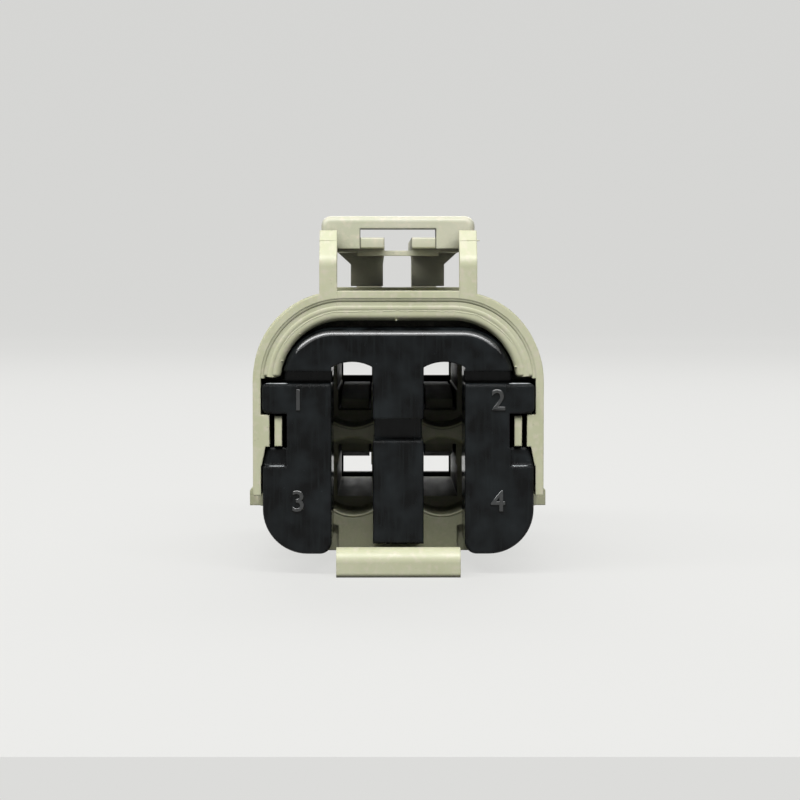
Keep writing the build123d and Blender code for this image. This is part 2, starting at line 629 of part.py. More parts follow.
os.makedirs("parts", exist_ok=True)
for name, make in NODES.items():
    export_step(make(), f"parts/{name}.step")
    print("wrote", name)
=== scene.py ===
"""Looks of a sealed four-way wire connector: finishes, mould details, light and camera."""
import logging
import math
import random
from dataclasses import dataclass, field, replace
from enum import Enum

import bmesh
import bpy
from mathutils import Euler, Matrix, Vector


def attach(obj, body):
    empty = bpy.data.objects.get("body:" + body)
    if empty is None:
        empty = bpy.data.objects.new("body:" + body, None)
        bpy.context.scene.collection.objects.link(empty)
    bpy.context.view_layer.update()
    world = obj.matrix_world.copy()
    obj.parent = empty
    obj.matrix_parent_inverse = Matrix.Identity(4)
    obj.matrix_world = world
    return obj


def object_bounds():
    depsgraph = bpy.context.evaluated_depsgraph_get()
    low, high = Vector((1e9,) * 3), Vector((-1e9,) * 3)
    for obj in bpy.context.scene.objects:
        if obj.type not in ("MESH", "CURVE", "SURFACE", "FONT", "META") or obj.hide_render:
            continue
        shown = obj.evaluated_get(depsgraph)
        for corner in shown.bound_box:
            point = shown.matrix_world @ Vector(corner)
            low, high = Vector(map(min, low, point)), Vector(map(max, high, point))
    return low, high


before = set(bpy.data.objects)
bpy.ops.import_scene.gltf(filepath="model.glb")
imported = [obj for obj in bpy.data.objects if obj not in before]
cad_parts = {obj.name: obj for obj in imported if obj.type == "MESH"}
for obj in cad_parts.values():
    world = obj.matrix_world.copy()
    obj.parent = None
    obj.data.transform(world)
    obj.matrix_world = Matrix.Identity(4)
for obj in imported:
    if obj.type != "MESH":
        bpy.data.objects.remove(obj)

CAD_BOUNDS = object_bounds()
MM = 0.001
SEED = 41
# Edges that turn by more than this stay sharp on the added pieces.
SHARP_DEGREES = 50
# Two directions count as parallel when their cross product is shorter than this.
NEARLY_PARALLEL = 0.1
# How far the skin of a flake of flash strays, as a share of its size.
FLAKE_UNEVEN = 0.25
# Noise that is used as it comes, without a spread.
AS_IT_COMES = (0.0, 1.0)
# Colour sockets of an RGBA mix node: the lower and the upper input, and the output.
MIX_UNDER, MIX_OVER, MIX_OUT = 6, 7, 2
LOG = logging.getLogger("connector")


# ---------------------------------------------------------------- helpers

def linear(hex_colour: str) -> tuple[float, float, float, float]:
    """Turn an sRGB hex colour into opaque linear RGBA.

    Args:
        hex_colour: Colour such as "#c8cbb0".

    Returns:
        The four linear channels.
    """
    def channel(value: int) -> float:
        """Turn one sRGB byte into a linear value."""
        share = value / 255
        return share / 12.92 if share <= 0.04045 else ((share + 0.055) / 1.055) ** 2.4

    digits = hex_colour.lstrip("#")
    red, green, blue = (channel(int(digits[i:i + 2], 16)) for i in (0, 2, 4))
    return red, green, blue, 1.0


def per_metre(size_mm: float) -> float:
    """Pattern scale that gives one feature every size_mm, for coordinates in metres."""
    return 1.0 / (size_mm * MM)


def add_node(tree: bpy.types.NodeTree, kind: str, settings: dict | None = None,
             links: dict | None = None) -> bpy.types.Node:
    """Add a node with its settings and its incoming links.

    Args:
        tree: Node tree that gets the node.
        kind: Blender's identifier of the node.
        settings: Attribute names or input sockets, with their values.
        links: Input sockets of the new node, with the output sockets that feed them.

    Returns:
        The new node.
    """
    node = tree.nodes.new(kind)
    for key, value in (settings or {}).items():
        if isinstance(key, str) and key not in node.inputs and hasattr(node, key):
            setattr(node, key, value)
        else:
            node.inputs[key].default_value = value
    for key, source in (links or {}).items():
        tree.links.new(source, node.inputs[key])
    return node


class Axis(Enum):
    """Main directions of the connector, as vectors."""
    ACROSS = (1, 0, 0)
    ALONG = (0, 1, 0)
    UP = (0, 0, 1)


class Octaves(Enum):
    """How much finer noise a pattern holds."""
    SMOOTH = 1.0
    CLOUDY = 2.0
    GRAINY = 3.0


class Body(Enum):
    """Bodies of the frame that pieces ride on."""
    HOUSING = "connector_body"
    LEVER = "lever"
    REAR_HOLDER = "wire_side_holder"
    FRONT_HOLDER = "mating_side_holder"


# ---------------------------------------------------------------- finishes

@dataclass(frozen=True)
class MouldedPlastic:
    """Injection-moulded thermoplastic: a base colour, cloudy mottling, flow streaks, grain.

    The sizes are those of the real surface: a spark-eroded mould leaves pits a few
    hundredths of a millimetre wide, which are drawn coarser so that they show. A spread is
    the pair of noise values that become 0 and 1. Shine is the specular level, and glow the
    share of the light that spreads inside. The painted shade, a dark colour laid into
    hollows by ambient occlusion where shade falls, starts at the first openness of its
    spread, from 0 in a hollow to 1 on a free face, and is full at the second.
    """
    name: str
    base: str
    cloud: str
    streak: str
    speck: str
    flow: Axis
    cloud_mm: float = 4.0
    cloud_spread: tuple[float, float] = (0.38, 0.68)
    streak_mm: float = 0.5
    streak_spread: tuple[float, float] = (0.50, 0.78)
    streak_stretch: float = 9.0
    speck_mm: float = 0.35
    speck_spread: tuple[float, float] = (0.74, 0.80)
    speck_share: float = 0.5
    grain_mm: float = 0.16
    grain_depth_mm: float = 0.003
    wave_mm: float = 2.6
    wave_depth_mm: float = 0.012
    roughness: tuple[float, float] = (0.38, 0.52)
    sheen_per_streak: float = 1.6
    sheen_spread: tuple[float, float] = (0.3, 0.7)
    ior: float = 1.55
    glow: float = 0.0
    glow_reach_mm: float = 0.6
    glow_reach_rgb: tuple[float, float, float] = (1.0, 0.85, 0.55)
    shine: float = 0.5
    coat: float = 0.0
    ease_mm: float = 0.08
    ease_samples: int = 4
    # Painted shade: a dark colour laid into hollows by ambient occlusion, where shade falls.
    grime: str = "#6b6650"
    grime_share: float = 0.0
    grime_reach_mm: float = 0.8
    grime_open: tuple[float, float] = (0.6, 0.1)
    grime_samples: int = 6

    def _place(self, tree: bpy.types.NodeTree
               ) -> tuple[bpy.types.NodeSocket, bpy.types.NodeSocket]:
        """Coordinates of the moulding, plain and drawn out along the melt's flow.

        Args:
            tree: Node tree of the material.

        Returns:
            The plain and the stretched coordinate sockets.
        """
        plain = add_node(tree, "ShaderNodeTexCoord").outputs["Object"]
        squeeze = [1.0 / self.streak_stretch if part else 1.0 for part in self.flow.value]
        drawn = add_node(tree, "ShaderNodeMapping", {"Scale": squeeze}, {"Vector": plain})
        return plain, drawn.outputs["Vector"]

    def _noise(self, tree: bpy.types.NodeTree, place: bpy.types.NodeSocket, size_mm: float,
               detail: Octaves, spread: tuple[float, float]) -> bpy.types.NodeSocket:
        """Noise of one feature size, spread over the range 0 to 1.

        Args:
            tree: Node tree of the material.
            place: Coordinates that the noise follows.
            size_mm: Width of one feature.
            detail: Amount of finer noise.
            spread: Noise values that become 0 and 1.

        Returns:
            The socket with the spread noise.
        """
        noise = add_node(tree, "ShaderNodeTexNoise",
                         {"Scale": per_metre(size_mm), "Detail": detail.value},
                         {"Vector": place})
        wide = add_node(tree, "ShaderNodeMapRange",
                        {"From Min": spread[0], "From Max": spread[1]},
                        {"Value": noise.outputs["Fac"]})
        return wide.outputs["Result"]

    def _mix(self, tree: bpy.types.NodeTree, under: bpy.types.NodeSocket | str, over: str,
             amount: bpy.types.NodeSocket) -> bpy.types.NodeSocket:
        """Lay one colour over another.

        Args:
            tree: Node tree of the material.
            under: Socket or hex colour below.
            over: Hex colour above.
            amount: Share of the upper colour.

        Returns:
            The mixed colour socket.
        """
        settings = {"data_type": "RGBA"}
        node = add_node(tree, "ShaderNodeMix", settings, {0: amount})
        if isinstance(under, str):
            node.inputs[MIX_UNDER].default_value = linear(under)
        else:
            tree.links.new(under, node.inputs[MIX_UNDER])
        node.inputs[MIX_OVER].default_value = linear(over)
        return node.outputs[MIX_OUT]

    def _scaled(self, tree: bpy.types.NodeTree, value: bpy.types.NodeSocket,
                factor: float) -> bpy.types.NodeSocket:
        """Multiply a value by a factor."""
        node = add_node(tree, "ShaderNodeMath", {"operation": "MULTIPLY", 1: factor}, {0: value})
        return node.outputs[0]

    def _colour(self, tree: bpy.types.NodeTree, plain: bpy.types.NodeSocket,
                drawn: bpy.types.NodeSocket) -> bpy.types.NodeSocket:
        """Colour with its clouds, streaks, specks and a painted shade in hollows.

        Args:
            tree: Node tree of the material.
            plain: Coordinates of the moulding.
            drawn: Coordinates stretched along the flow.

        Returns:
            The colour socket.
        """
        cloud = self._noise(tree, plain, self.cloud_mm, Octaves.CLOUDY, self.cloud_spread)
        colour = self._mix(tree, self.base, self.cloud, cloud)
        streak = self._noise(tree, drawn, self.streak_mm, Octaves.CLOUDY, self.streak_spread)
        colour = self._mix(tree, colour, self.streak, streak)
        speck = self._noise(tree, plain, self.speck_mm, Octaves.SMOOTH, self.speck_spread)
        colour = self._mix(tree, colour, self.speck,
                           self._scaled(tree, speck, self.speck_share))
        # Painted shade: a dark colour laid over hollows by ambient occlusion, where shade falls.
        if self.grime_share:
            open_air = add_node(tree, "ShaderNodeAmbientOcclusion",
                                {"samples": self.grime_samples,
                                 "Distance": self.grime_reach_mm * MM})
            shut = add_node(tree, "ShaderNodeMapRange",
                            {"From Min": self.grime_open[0], "From Max": self.grime_open[1],
                             "To Max": self.grime_share},
                            {"Value": open_air.outputs["AO"]})
            colour = self._mix(tree, colour, self.grime, shut.outputs["Result"])
        return colour

    def _relief(self, tree: bpy.types.NodeTree,
                plain: bpy.types.NodeSocket) -> bpy.types.NodeSocket:
        """Normals of the spark-eroded grain over a faint sink-mark wave, with eased edges.

        Args:
            tree: Node tree of the material.
            plain: Coordinates of the moulding.

        Returns:
            The normal socket.
        """
        wave = self._noise(tree, plain, self.wave_mm, Octaves.SMOOTH, AS_IT_COMES)
        low = add_node(tree, "ShaderNodeBump", {"Distance": self.wave_depth_mm * MM},
                       {"Height": wave})
        if self.ease_mm:
            eased = add_node(tree, "ShaderNodeBevel",
                             {"samples": self.ease_samples, "Radius": self.ease_mm * MM})
            tree.links.new(eased.outputs["Normal"], low.inputs["Normal"])
        grain = self._noise(tree, plain, self.grain_mm, Octaves.GRAINY, AS_IT_COMES)
        high = add_node(tree, "ShaderNodeBump", {"Distance": self.grain_depth_mm * MM},
                        {"Height": grain, "Normal": low.outputs["Normal"]})
        return high.outputs["Normal"]

    def for_marks(self, shine: float = 0.5) -> "MouldedPlastic":
        """The same finish for beads and numbers, too small for eased edges or painted shade.

        Args:
            shine: Its specular level, higher where the mould was polished.

        Returns:
            The finish.
        """
        return replace(self, name=f"{self.name}_marks", ease_mm=0.0, grime_share=0.0,
                       shine=shine)

    def build(self) -> bpy.types.Material:
        """Make the material with all its nodes."""
        material = bpy.data.materials.new(self.name)
        material.use_nodes = True
        tree = material.node_tree
        shader = tree.nodes["Principled BSDF"]
        plain, drawn = self._place(tree)
        tree.links.new(self._colour(tree, plain, drawn), shader.inputs["Base Color"])
        tree.links.new(self._relief(tree, plain), shader.inputs["Normal"])
        sheen = self._noise(tree, drawn, self.streak_mm * self.sheen_per_streak,
                            Octaves.GRAINY, self.sheen_spread)
        rough = add_node(tree, "ShaderNodeMapRange",
                         {"To Min": self.roughness[0], "To Max": self.roughness[1]},
                         {"Value": sheen})
        tree.links.new(rough.outputs["Result"], shader.inputs["Roughness"])
        shader.inputs["IOR"].default_value = self.ior
        shader.inputs["Specular IOR Level"].default_value = self.shine
        shader.inputs["Subsurface Weight"].default_value = self.glow
        shader.inputs["Subsurface Scale"].default_value = self.glow_reach_mm * MM
        shader.inputs["Subsurface Radius"].default_value = self.glow_reach_rgb
        shader.inputs["Coat Weight"].default_value = self.coat
        return material


# PBT without dye, injection moulded: a warm grey-green cream, satin, slightly translucent,
# so thin walls and edges look lighter than thick ones; melt flow leaves greenish clouds and
# warmer streaks. A near-black painted shade darkens its deep hollows, such as the bores,
# where shade falls.
NATURAL_PBT = MouldedPlastic(
    name="pbt_natural_moulded", base="#c1c2a5", cloud="#b8ba9a", streak="#c9c4af",
    speck="#8f8b6e", flow=Axis.ALONG, speck_share=0.3, ease_mm=0.14, glow=0.10,
    grime="#2a261a", grime_share=0.85, grime_reach_mm=7.0, grime_open=(0.17, 0.04))

# The same plastic on the lever, a trace paler and greyer than the housing's; a near-black
# painted shade darkens its hollows, most of all the arms' legs in the shade under the pad.
LEVER_PBT = MouldedPlastic(
    name="pbt_natural_lever", base="#c0bfac", cloud="#b8baa2", streak="#cac4b2",
    speck="#918d72", flow=Axis.ALONG, speck_share=0.3, ease_mm=0.12, glow=0.10,
    grime="#171309", grime_share=0.92, grime_reach_mm=5.0, grime_open=(0.64, 0.48))

# Glass-filled black PBT, injection moulded: near black with a cool cast. The smooth but
# dry skin mirrors little; it has faint clouds, and vertical grey streaks where glass
# fibres reach the skin along the melt's flow.
BLACK_PBT = MouldedPlastic(
    name="pbt_black_glass_filled", base="#040506", cloud="#1b1f21", streak="#161a1b",
    speck="#3e4447", flow=Axis.UP, cloud_mm=2.1, streak_mm=0.28, streak_stretch=12.0,
    speck_mm=0.22, speck_share=0.35, grain_mm=0.14, grain_depth_mm=0.0022,
    roughness=(0.12, 0.20), shine=0.13, ease_mm=0.3)

# The comb's rounded brow, rubbed each time the holder is pressed home: the same black
# plastic, with a broad soft shine.
RUBBED_BROW = replace(BLACK_PBT, name="pbt_black_rubbed_brow", shine=0.8,
                      roughness=(0.26, 0.34), ease_mm=0.0)

# Painted glint on edges of the same black plastic: a thin pale grey line that stands in for
# the lamp's highlight along the edge, with a high real shine as well.
PAINTED_GLINT_EDGE = MouldedPlastic(
    name="pbt_black_painted_glint_edge", base="#8f9496", cloud="#74797b", streak="#a8acae",
    speck="#d2d5d6", flow=Axis.ACROSS, cloud_mm=0.9, streak_mm=0.3, streak_stretch=3.0,
    roughness=(0.15, 0.30), shine=1.0)

# The front holder is the same black plastic; its gate is in the middle, so the melt
# flows across, and its face is matt.
BLACK_PBT_FRONT = MouldedPlastic(
    name="pbt_black_front", base="#131617", cloud="#191d1e", streak="#1f2427",
    speck="#464c4e", flow=Axis.ACROSS, cloud_mm=3.0, streak_mm=0.3, streak_stretch=8.0,
    speck_mm=0.25, speck_share=0.3, grain_mm=0.12, grain_depth_mm=0.004,
    roughness=(0.5, 0.65), shine=0.26)

# Self-lubricating silicone rubber, compression moulded: orange-red, soft satin with an
# oily bloom that dulls it in patches.
SILICONE = MouldedPlastic(
    name="silicone_orange_red", base="#b5482a", cloud="#c05634", streak="#a83f24",
    speck="#d98a68", flow=Axis.ALONG, cloud_mm=1.6, streak_mm=0.4, streak_stretch=3.0,
    speck_mm=0.2, speck_share=0.5, grain_mm=0.1, grain_depth_mm=0.003,
    roughness=(0.36, 0.6), ior=1.41, glow=0.08, glow_reach_mm=0.4, coat=0.15)


# ---------------------------------------------------------------- mesh tools

def new_piece(name: str, shape: bmesh.types.BMesh, finish: bpy.types.Material, body: Body) -> None:
    """Turn a bmesh into a piece that rides on a body.

    Args:
        name: Name of the piece.
        shape: Its mesh, in metres in the frame; it is freed here.
        finish: Material of the piece.
        body: Body that it moves with.
    """
    mesh = bpy.data.meshes.new(name)
    bmesh.ops.recalc_face_normals(shape, faces=shape.faces)
    shape.to_mesh(mesh)
    shape.free()
    mesh.polygons.foreach_set("use_smooth", [True] * len(mesh.polygons))
    mesh.set_sharp_from_angle(angle=math.radians(SHARP_DEGREES))
    mesh.materials.append(finish)
    piece = bpy.data.objects.new(name, mesh)
    bpy.context.collection.objects.link(piece)
    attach(piece, body.value)
    LOG.info("piece %s: %d faces", name, len(mesh.polygons))


def sweep(shape: bmesh.types.BMesh, line: list[Vector], radii: list[float], sides: int = 6,
          closed: bool = False) -> None:
    """Add a tube that follows a line, with a radius of its own at each point.

    Args:
        shape: Mesh that gets the tube.
        line: Points of the centre line, in metres.
        radii: Radius at each point, in metres.
        sides: Number of sides of the tube.
        closed: Whether the line ends where it starts.
    """
    count = len(line)
    rings = []
    for i, point in enumerate(line):
        before = line[i - 1] if i or closed else point
        after = line[(i + 1) % count] if i < count - 1 or closed else point
        way = (after - before).normalized()
        side = way.cross(Vector((0, 1, 0)))
        if side.length < NEARLY_PARALLEL:
            side = way.cross(Vector((0, 0, 1)))
        side.normalize()
        up = side.cross(way)
        ring = []
        for k in range(sides):
            turn = 2 * math.pi * k / sides
            spoke = side * math.cos(turn) + up * math.sin(turn)
            ring.append(shape.verts.new(point + spoke * radii[i]))
        rings.append(ring)
    for i in range(count if closed else count - 1):
        here, there = rings[i], rings[(i + 1) % count]
        for k in range(sides):
            n = (k + 1) % sides
            shape.faces.new((here[k], here[n], there[n], there[k]))
    if not closed:
        shape.faces.new(rings[0])
        shape.faces.new(rings[-1])


def flake(shape: bmesh.types.BMesh, centre: Vector, size: Vector, dice: random.Random) -> None:
    """Add a torn bit of flash: a squashed ball with an uneven skin.

    Args:
        shape: Mesh that gets the flake.
        centre: Its middle, in metres.
        size: Its half sizes along X, Y and Z, in metres.
        dice: Source of the unevenness.
    """
    made = bmesh.ops.create_icosphere(shape, subdivisions=2, radius=1.0)
    for vert in made["verts"]:
        uneven = 1 + dice.uniform(-FLAKE_UNEVEN, FLAKE_UNEVEN)
        vert.co = centre + Vector([c * s * uneven for c, s in zip(vert.co, size)])


def ring_line(centre: Vector, radius: float, across: Vector, up: Vector,
              steps: int = 28) -> list[Vector]:
    """Points of a circle.

    Args:
        centre: Its middle, in metres.
        radius: Its radius, in metres.
        across: Unit vector in its plane.
        up: The other unit vector in its plane.
        steps: Number of points.

    Returns:
        The points in order, the last one a step before the first.
    """
    turns = [2 * math.pi * i / steps for i in range(steps)]
    return [centre + across * radius * math.cos(t) + up * radius * math.sin(t) for t in turns]


def arch_point(share: float, half_w: float, top_z: float, radius: float, y: float) -> Vector:
    """Point on an arch with a flat top and round shoulders.

    Args:
        share: Place along the arch, from 0 at its left foot to 1 at its right foot.
        half_w: Half its width, in mm.
        top_z: Height of its flat top, in mm.
        radius: Radius of its shoulders, in mm.
        y: Where it stands, in mm.

    Returns:
        The point, in mm.
    """
    flat = 2 * (half_w - radius)
    bend = radius * math.pi / 2
    run = share * (flat + 2 * bend)
    if bend <= run <= bend + flat:
        return Vector((run - bend - flat / 2, y, top_z))
    over, side = (run, -1) if run < bend else (bend * 2 + flat - run, 1)
    turn = over / radius
    return Vector((side * (flat / 2 + radius * math.cos(turn)), y,
                   top_z - radius + radius * math.sin(turn)))


def dress_node(node: str, finish: bpy.types.Material) -> None:
    """Give every material slot of a CAD node the finish."""
    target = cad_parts[node]
    if not target.material_slots:
        target.data.materials.append(finish)
    for entry in target.material_slots:
        entry.material = finish
    LOG.info("node %s: %s", node, finish.name)


# ---------------------------------------------------------------- sub-assemblies

@dataclass(frozen=True)
class Bead:
    """Rounded bead along the collar's arch. Sizes in mm.

    The inset is from the collar's outside; proud is how far the bead stands out of the
    ring's front; the wave is how far it strays at each step; the span is its share of the arch.
    """
    inset: float
    radius: tuple[float, float]
    proud: float
    wave: float
    span: float


@dataclass
class Housing:
    """Moulded housing: collar, posts, tower with its bores, skirt and rail.

    Sizes are in mm and turns in degrees. A nick is a flake's X, Z and half width.
    """
    finish: bpy.types.Material
    marks: bpy.types.Material
    rim_y: float = -16.3
    ring_y: float = -16.18
    collar_half_w: float = 11.05
    collar_top_z: float = 21.65
    collar_r: float = 6.9
    beads: tuple[Bead, ...] = (
        Bead(inset=0.64, radius=(0.25, 0.26), proud=0.10, wave=0.0, span=0.98),
        Bead(inset=1.30, radius=(0.48, 0.50), proud=0.04, wave=0.003, span=0.97),
        Bead(inset=1.55, radius=(0.03, 0.05), proud=0.02, wave=0.035, span=0.76))
    arch_steps: int = 90
    arch_sides: int = 10
    drift_kept: float = 0.8
    post_inner_x: float = 4.65
    post_w: float = 1.33
    parting_z: float = 25.47
    parting_y: tuple[float, float] = (-15.255, -14.05)
    parting_wave: float = 0.02
    parting_r: tuple[float, float] = (0.018, 0.034)
    parting_steps: int = 6
    flap_back: float = 0.2
    flap_size: tuple[float, float, float] = (0.22, 0.25, 0.05)
    nicks: tuple[tuple[float, float, float], ...] = (
        (-7.5, 18.42, 0.20), (-9.05, 16.86, 0.16), (-8.87, 16.35, 0.18),
        (7.75, 18.35, 0.17), (-0.15, 19.4, 0.07), (8.95, 15.9, 0.12))
    nick_back: float = 0.2
    nick_half_y: float = 0.16
    nick_z_share: float = 0.8
    rim_witness_z: tuple[float, ...] = (22.2, 21.8, 21.4, 21.1)
    ring_witness_z: tuple[float, ...] = (21.0, 20.7, 20.4, 20.1)
    witness_r: float = 0.025
    skirt_half_w: float = 11.45
    keel_z: float = 1.0
    pin_r: float = 1.0
    pin_bead_r: float = 0.035
    side_pin_y: tuple[float, float] = (-2.5, 11.5)
    side_pin_z: float = 10.6
    keel_pin_y: tuple[float, float] = (13.2, 1.2)
    keel_pin_x: float = 5.9
    bore_r: float = 3.1
    bore_x: float = 3.5
    bore_z: tuple[float, float] = (6.9, 13.9)
    bore_face_y: float = -9.5
    lip_r: float = 0.09
    lip_back: float = 0.02
    lip_from: float = 190.0
    lip_turn: float = 160.0
    lip_steps: int = 24
    lip_sides: int = 8
    gate_y: float = 14.2
    gate_size: tuple[float, float, float] = (0.55, 0.45, 0.28)
    dice: random.Random = field(default_factory=lambda: random.Random(SEED))

    def build(self) -> None:
        """Dress the moulding and add its mould marks."""
        dress_node("housing", self.finish)
        self.parting_beads()
        self.arch_lines()
        self.flash()
        self.witness_lines()
        self.pin_marks()
        self.gate_stub()
        self.lead_ins()

    def piece(self, name: str, shape: bmesh.types.BMesh) -> None:
        """Turn a mesh into a piece of the housing."""
        new_piece(name, shape, self.marks, Body.HOUSING)

    def parting_beads(self) -> None:
        """Bead round each post where the mould's halves meet, with a flap of flash."""
        shape = bmesh.new()
        front, back = self.parting_y
        outer_x = self.post_inner_x + self.post_w
        for side in (-1, 1):
            x0, x1 = side * self.post_inner_x, side * outer_x
            corners = [(x0, front), (x1, front), (x1, back), (x0, back)]
            line = []
            for (xa, ya), (xb, yb) in zip(corners, corners[1:] + corners[:1]):
                for step in range(self.parting_steps):
                    share = step / self.parting_steps
                    z = self.parting_z + self.dice.uniform(-self.parting_wave,
                                                           self.parting_wave)
                    line.append(Vector((xa + (xb - xa) * share, ya + (yb - ya) * share,
                                        z)) * MM)
            radii = [self.dice.uniform(*self.parting_r) * MM for _ in line]
            sweep(shape, line, radii, closed=True)
        tip = Vector((outer_x, front + self.flap_back, self.parting_z)) * MM
        flake(shape, tip, Vector(self.flap_size) * MM, self.dice)
        self.piece("housing_parting_beads", shape)

    def arch_lines(self) -> None:
        """Beads along the arch: in the groove by the rim, on the ring's crest, and the weld."""
        shape = bmesh.new()
        for bead in self.beads:
            drift = 0.0
            line, radii = [], []
            for i in range(self.arch_steps + 1):
                drift = self.drift_kept * drift + self.dice.uniform(-bead.wave, bead.wave)
                inset = bead.inset + drift
                point = arch_point((1 - bead.span) / 2 + bead.span * i / self.arch_steps,
                                   self.collar_half_w - inset, self.collar_top_z - inset,
                                   self.collar_r - inset, self.ring_y)
                thick = self.dice.uniform(*bead.radius)
                line.append((point + Vector((0, thick - bead.proud, 0))) * MM)
                radii.append(thick * MM)
            sweep(shape, line, radii, sides=self.arch_sides)
        self.piece("housing_arch_lines", shape)

    def flash(self) -> None:
        """Flakes of flash on the inner edge of the ring."""
        shape = bmesh.new()
        for x, z, size in self.nicks:
            flake(shape, Vector((x, self.ring_y + self.nick_back, z)) * MM,
                  Vector((size, self.nick_half_y, size * self.nick_z_share)) * MM, self.dice)
        self.piece("housing_flash", shape)

    def witness_lines(self) -> None:
        """Fine lines under the posts' inner edges, where an insert of the mould ends."""
        shape = bmesh.new()
        for side in (-1, 1):
            for y, heights in ((self.rim_y, self.rim_witness_z),
                               (self.ring_y, self.ring_witness_z)):
                line = [Vector((side * self.post_inner_x, y, z)) * MM for z in heights]
                sweep(shape, line, [self.witness_r * MM] * len(line))
        self.piece("housing_witness_lines", shape)

    def pin_marks(self) -> None:
        """Rims of the ejector pins on the skirt's sides and under its keel."""
        shape = bmesh.new()
        along, up, across = Vector((0, 1, 0)), Vector((0, 0, 1)), Vector((1, 0, 0))
        for side in (-1, 1):
            rims = [(Vector((side * self.skirt_half_w, y, self.side_pin_z)), along, up)
                    for y in self.side_pin_y]
            rims += [(Vector((side * self.keel_pin_x, y, self.keel_z)), across, along)
                     for y in self.keel_pin_y]
            for centre, first, second in rims:
                line = ring_line(centre * MM, self.pin_r * MM, first, second)
                sweep(shape, line, [self.pin_bead_r * MM] * len(line), closed=True)
        self.piece("housing_pin_marks", shape)

    def lead_ins(self) -> None:
        """Rolled lip round the lower half of each bore, where the seal slides in."""
        shape = bmesh.new()
        for side in (-1, 1):
            for z in self.bore_z:
                line = []
                for i in range(self.lip_steps + 1):
                    turn = math.radians(self.lip_from + self.lip_turn * i / self.lip_steps)
                    line.append(Vector((side * self.bore_x + self.bore_r * math.cos(turn),
                                        self.bore_face_y + self.lip_back,
                                        z + self.bore_r * math.sin(turn))) * MM)
                sweep(shape, line, [self.lip_r * MM] * len(line), sides=self.lip_sides)
        self.piece("housing_lead_ins", shape)

    def gate_stub(self) -> None:
        """Broken stub of the gate under the keel."""
        shape = bmesh.new()
        flake(shape, Vector((0, self.gate_y, self.keel_z)) * MM,
              Vector(self.gate_size) * MM, self.dice)
        self.piece("housing_gate_stub", shape)


@dataclass
class LockLever:
    """Lock lever: thumb pad with a window, in which the two arms end. Sizes in mm."""
    finish: bpy.types.Material
    marks: bpy.types.Material
    pad_rear_y: float = -13.0
    pad_half_w: float = 5.92
    pad_mid_z: float = 26.2
    arm_x: tuple[float, float] = (1.05, 2.93)
    arm_y: tuple[float, float] = (-12.93, -12.2)
    arm_z: tuple[float, float] = (24.92, 25.75)
    arm_round: float = 0.12
    arm_round_steps: int = 4
    line_start: float = 0.8
    line_step: float = 0.4
    line_points: int = 8
    line_wave: float = 0.015
    line_r: tuple[float, float] = (0.03, 0.05)
    dice: random.Random = field(default_factory=lambda: random.Random(SEED + 1))

    def build(self) -> None:
        """Dress the lever and add its parting line and the ends of its arms."""
        dress_node("lock_lever", self.finish)
        self.parting_line()
        self.arm_ends()

    def arm_ends(self) -> None:
        """Rounded ends of the two arms, nearly flush with the pad's rear face."""
        shape = bmesh.new()
        for side in (-1, 1):
            spans = [sorted(side * x for x in self.arm_x), self.arm_y, self.arm_z]
            made = bmesh.ops.create_cube(shape, size=1.0)["verts"]
            for vert in made:
                vert.co = Vector([(low + (high - low) * (c + 0.5)) * MM
                                  for c, (low, high) in zip(vert.co, spans)])
            edges = dict.fromkeys(edge for vert in made for edge in vert.link_edges)
            bmesh.ops.bevel(shape, geom=list(edges), offset=self.arm_round * MM,
                            segments=self.arm_round_steps, profile=0.5, affect="EDGES")
        new_piece("lever_arm_ends", shape, self.marks, Body.LEVER)

    def parting_line(self) -> None:
        """Bead along both flanks of the pad."""
        shape = bmesh.new()
        for side in (-1, 1):
            line = []
            for i in range(self.line_points):
                z = self.pad_mid_z + self.dice.uniform(-self.line_wave, self.line_wave)
                y = self.pad_rear_y + self.line_start + self.line_step * i
                line.append(Vector((side * self.pad_half_w, y, z)) * MM)
            sweep(shape, line, [self.dice.uniform(*self.line_r) * MM for _ in line])
        new_piece("lever_parting_line", shape, self.marks, Body.LEVER)


